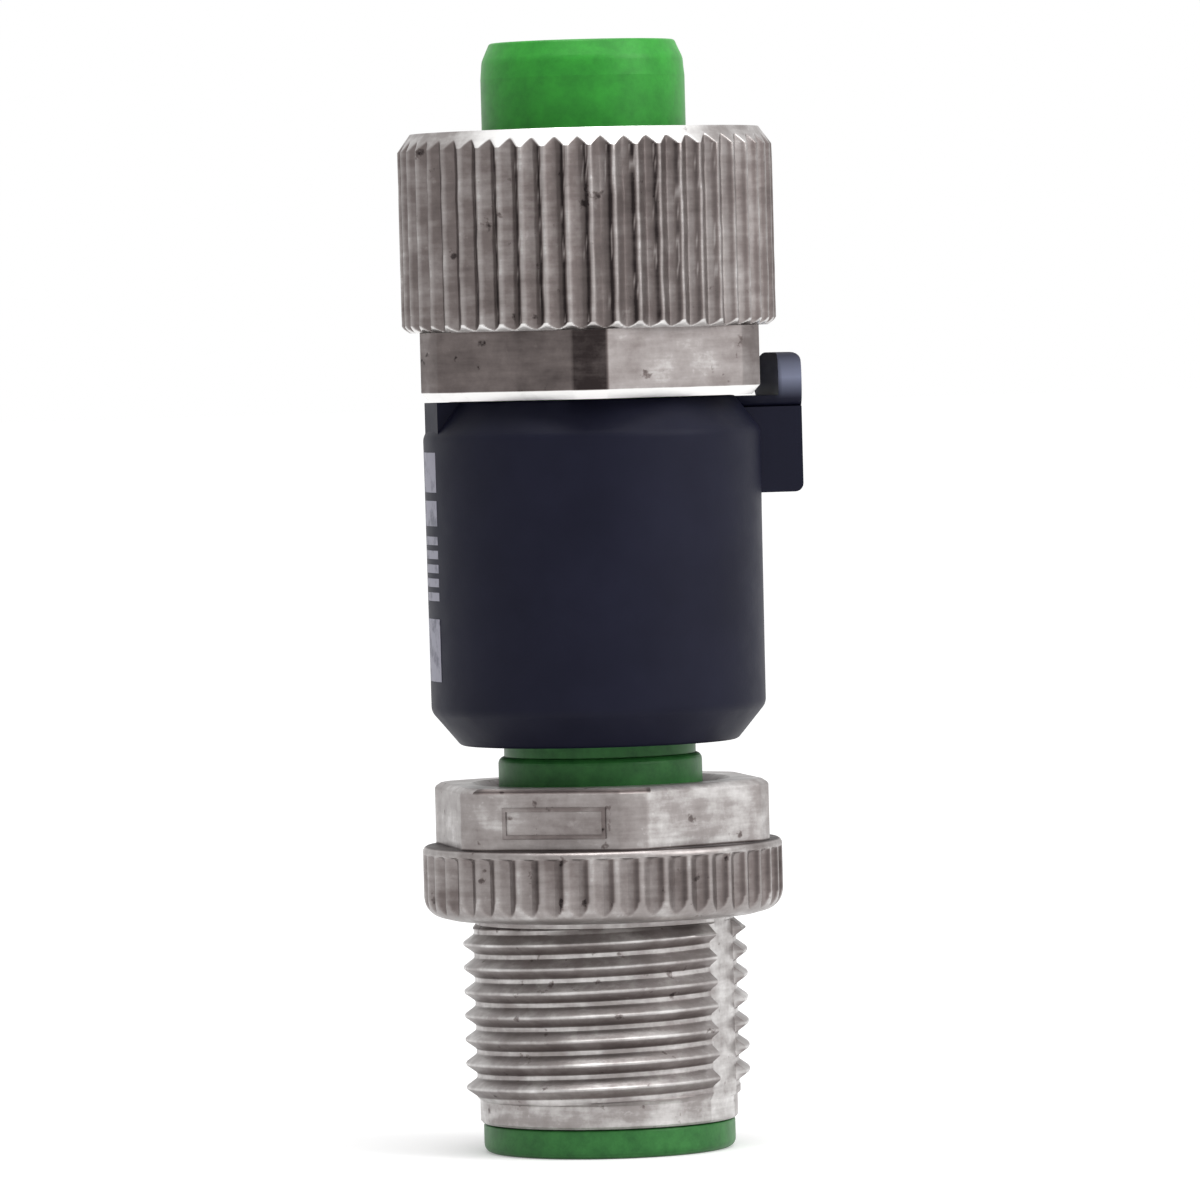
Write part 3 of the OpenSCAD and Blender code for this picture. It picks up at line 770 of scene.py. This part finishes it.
def screw_wear_and_painted_light(place):
    radius, angle = hypot(place.x, place.y), atan2(place.y, place.x)
    if radius < screw_groove_radius + 0.05 * MM:
        return 0.45
    flat = degrees(angle - screw_hex_turn + radians(120)) % 360
    # The top bevel along the flat and corner facing the camera is painted dark as shade; elsewhere
    # the top is an even grey.
    if place.z > screw_top - 0.2 * MM:
        return 0.7 if 6 < flat < 302 or place.z > screw_top - 0.05 * MM else 0.10
    # A painted dark line, as shade, runs round the crease where the hexagon meets the grip ring.
    if abs(place.z - hex_base) < 0.02 * MM:
        return 0.10
    # Each hexagon flat has its own painted brightness for the light that falls on it.
    if place.z > hex_base + 0.01 * MM:
        return between(flat, (0, 0.63), (4.0, 0.64), (5.2, 0.73), (60, 0.69), (240, 0.65),
                       (300, 0.65), (304, 0.63), (360, 0.63))
    if place.z > ring_base + 0.1 * MM:
        if place.z > ring_shoulder - 0.05 * MM:
            return 0.66
        # The grip ring's flutes carry the same dirt and painted shade, set a little darker.
        level = 0.25 + 0.6 * flute_dirt_and_painted_shade(angle, ring_flutes, ring_ridge)
        rise = 1 - min(1.0, (place.z - ring_bevel_base) / ring_bevel)
        edge = ring_radius - ring_bevel * (1 - sqrt(max(0.0, 1 - rise * rise)))
        if rise > 0.02:
            return between((edge - radius) / MM, (0.0, 0.66), (0.02, 0.62), (0.07, level))
        return level
    off = from_groove(angle)
    if abs(off) < groove_half and radius < lead_radius / cos(off) + 0.02 * MM:
        return 0.78
    # The thread's crests and roots are painted bright as highlights, and its downward-facing flanks
    # are painted dark as shade.
    on_thread = thread_base + 0.15 * MM < place.z < ring_base - 0.3 * MM
    if on_thread and radius > lead_radius + 0.02 * MM:
        return between(thread_share(place), (0.0, 0.80), (0.07, 0.76), (0.14, 0.58), (0.34, 0.62),
                       (0.42, 0.72), (0.58, 0.74), (0.66, 0.34), (0.85, 0.32), (0.93, 0.66),
                       (1.0, 0.80))
    return 0.71


screw = finished_piece("coupling_screw_turned", turned_surface(screw_segments, screw_rows),
                       nickel_plate, "screw")
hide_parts("coupling_screw")
screw_frame = finished_piece("coupling_screw_frame", raised_frame(), nickel_plate, "screw")
mark_wear_and_painted_light(screw_frame, lambda place: 0.5)
mark_wear_and_painted_light(screw, screw_wear_and_painted_light)


# ---- Studio -----------------------------------------------------------------------------
# A plain pale floor under the adapter, a white surround, one soft lamp on the right and a
# slightly larger one high above the front.
floor_pale = (0.82, 0.82, 0.82, 1)


def seen_directly(nodes, links):
    """1 on rays from the camera and on mirrored or refracted ones, otherwise 0."""
    path = nodes.new("ShaderNodeLightPath")
    total = path.outputs["Is Camera Ray"]
    for ray in ("Is Glossy Ray", "Is Transmission Ray"):
        join = nodes.new("ShaderNodeMath")
        join.operation = "MAXIMUM"
        links.new(total, join.inputs[0])
        links.new(path.outputs[ray], join.inputs[1])
        total = join.outputs[0]
    return total


world = bpy.data.worlds.new("white_surround")
world.use_nodes = True
bpy.context.scene.world = world
world_nodes, world_links = world.node_tree.nodes, world.node_tree.links
surround = world_nodes["Background"]
surround.inputs["Color"].default_value = (1, 1, 1, 1)
world_links.new(
    spread(world_nodes, world_links, seen_directly(world_nodes, world_links), 0.35, 1.0),
    surround.inputs["Strength"])

floor_mesh = bmesh.new()
bmesh.ops.create_grid(floor_mesh, x_segments=1, y_segments=1, size=3.0)
floor_data = bpy.data.meshes.new("floor")
floor_mesh.to_mesh(floor_data)
floor_mesh.free()
floor = bpy.data.objects.new("floor", floor_data)
bpy.context.scene.collection.objects.link(floor)
floor_material, floor_nodes, floor_links, floor_shader = finish_nodes("floor", 0.0, 0.9)
floor_shader.inputs["Base Color"].default_value = floor_pale
floor_shader.inputs["Specular IOR Level"].default_value = 0.0
floor_place = floor_nodes.new("ShaderNodeTexCoord")
floor_reach = floor_nodes.new("ShaderNodeVectorMath")
floor_reach.operation = "LENGTH"
floor_links.new(floor_place.outputs["Object"], floor_reach.inputs[0])
floor_links.new(
    ramp(floor_nodes, floor_links, floor_reach.outputs["Value"], (0.05, (0.30, 0.30, 0.30, 1)),
         (0.30, (0.55, 0.55, 0.55, 1)), (0.50, (0.66, 0.66, 0.66, 1)),
         (1.0, (0.78, 0.78, 0.78, 1))),
    floor_shader.inputs["Emission Color"])
floor_links.new(seen_directly(floor_nodes, floor_links), floor_shader.inputs["Emission Strength"])
floor_data.materials.append(floor_material)


def soft_lamp(name, azimuth, elevation, distance, size, power):
    """A square area lamp that faces the adapter, at an azimuth from the camera's."""
    lamp_data = bpy.data.lights.new(name, "AREA")
    lamp_data.size = size
    lamp_data.energy = power
    lamp = bpy.data.objects.new(name, lamp_data)
    turn = view_azimuth + radians(azimuth)
    rise = radians(elevation)
    away = Vector((sin(turn) * cos(rise), -cos(turn) * cos(rise), sin(rise)))
    lamp.location = middle + away * distance
    lamp.rotation_mode = "QUATERNION"
    lamp.rotation_quaternion = away.to_track_quat("Z", "Y")
    bpy.context.scene.collection.objects.link(lamp)


soft_lamp("right_softbox", azimuth=62, elevation=30, distance=0.45, size=0.26, power=1.1)
soft_lamp("top_softbox", azimuth=0, elevation=80, distance=0.40, size=0.30, power=1.5)

bpy.context.scene.view_settings.view_transform = "Standard"
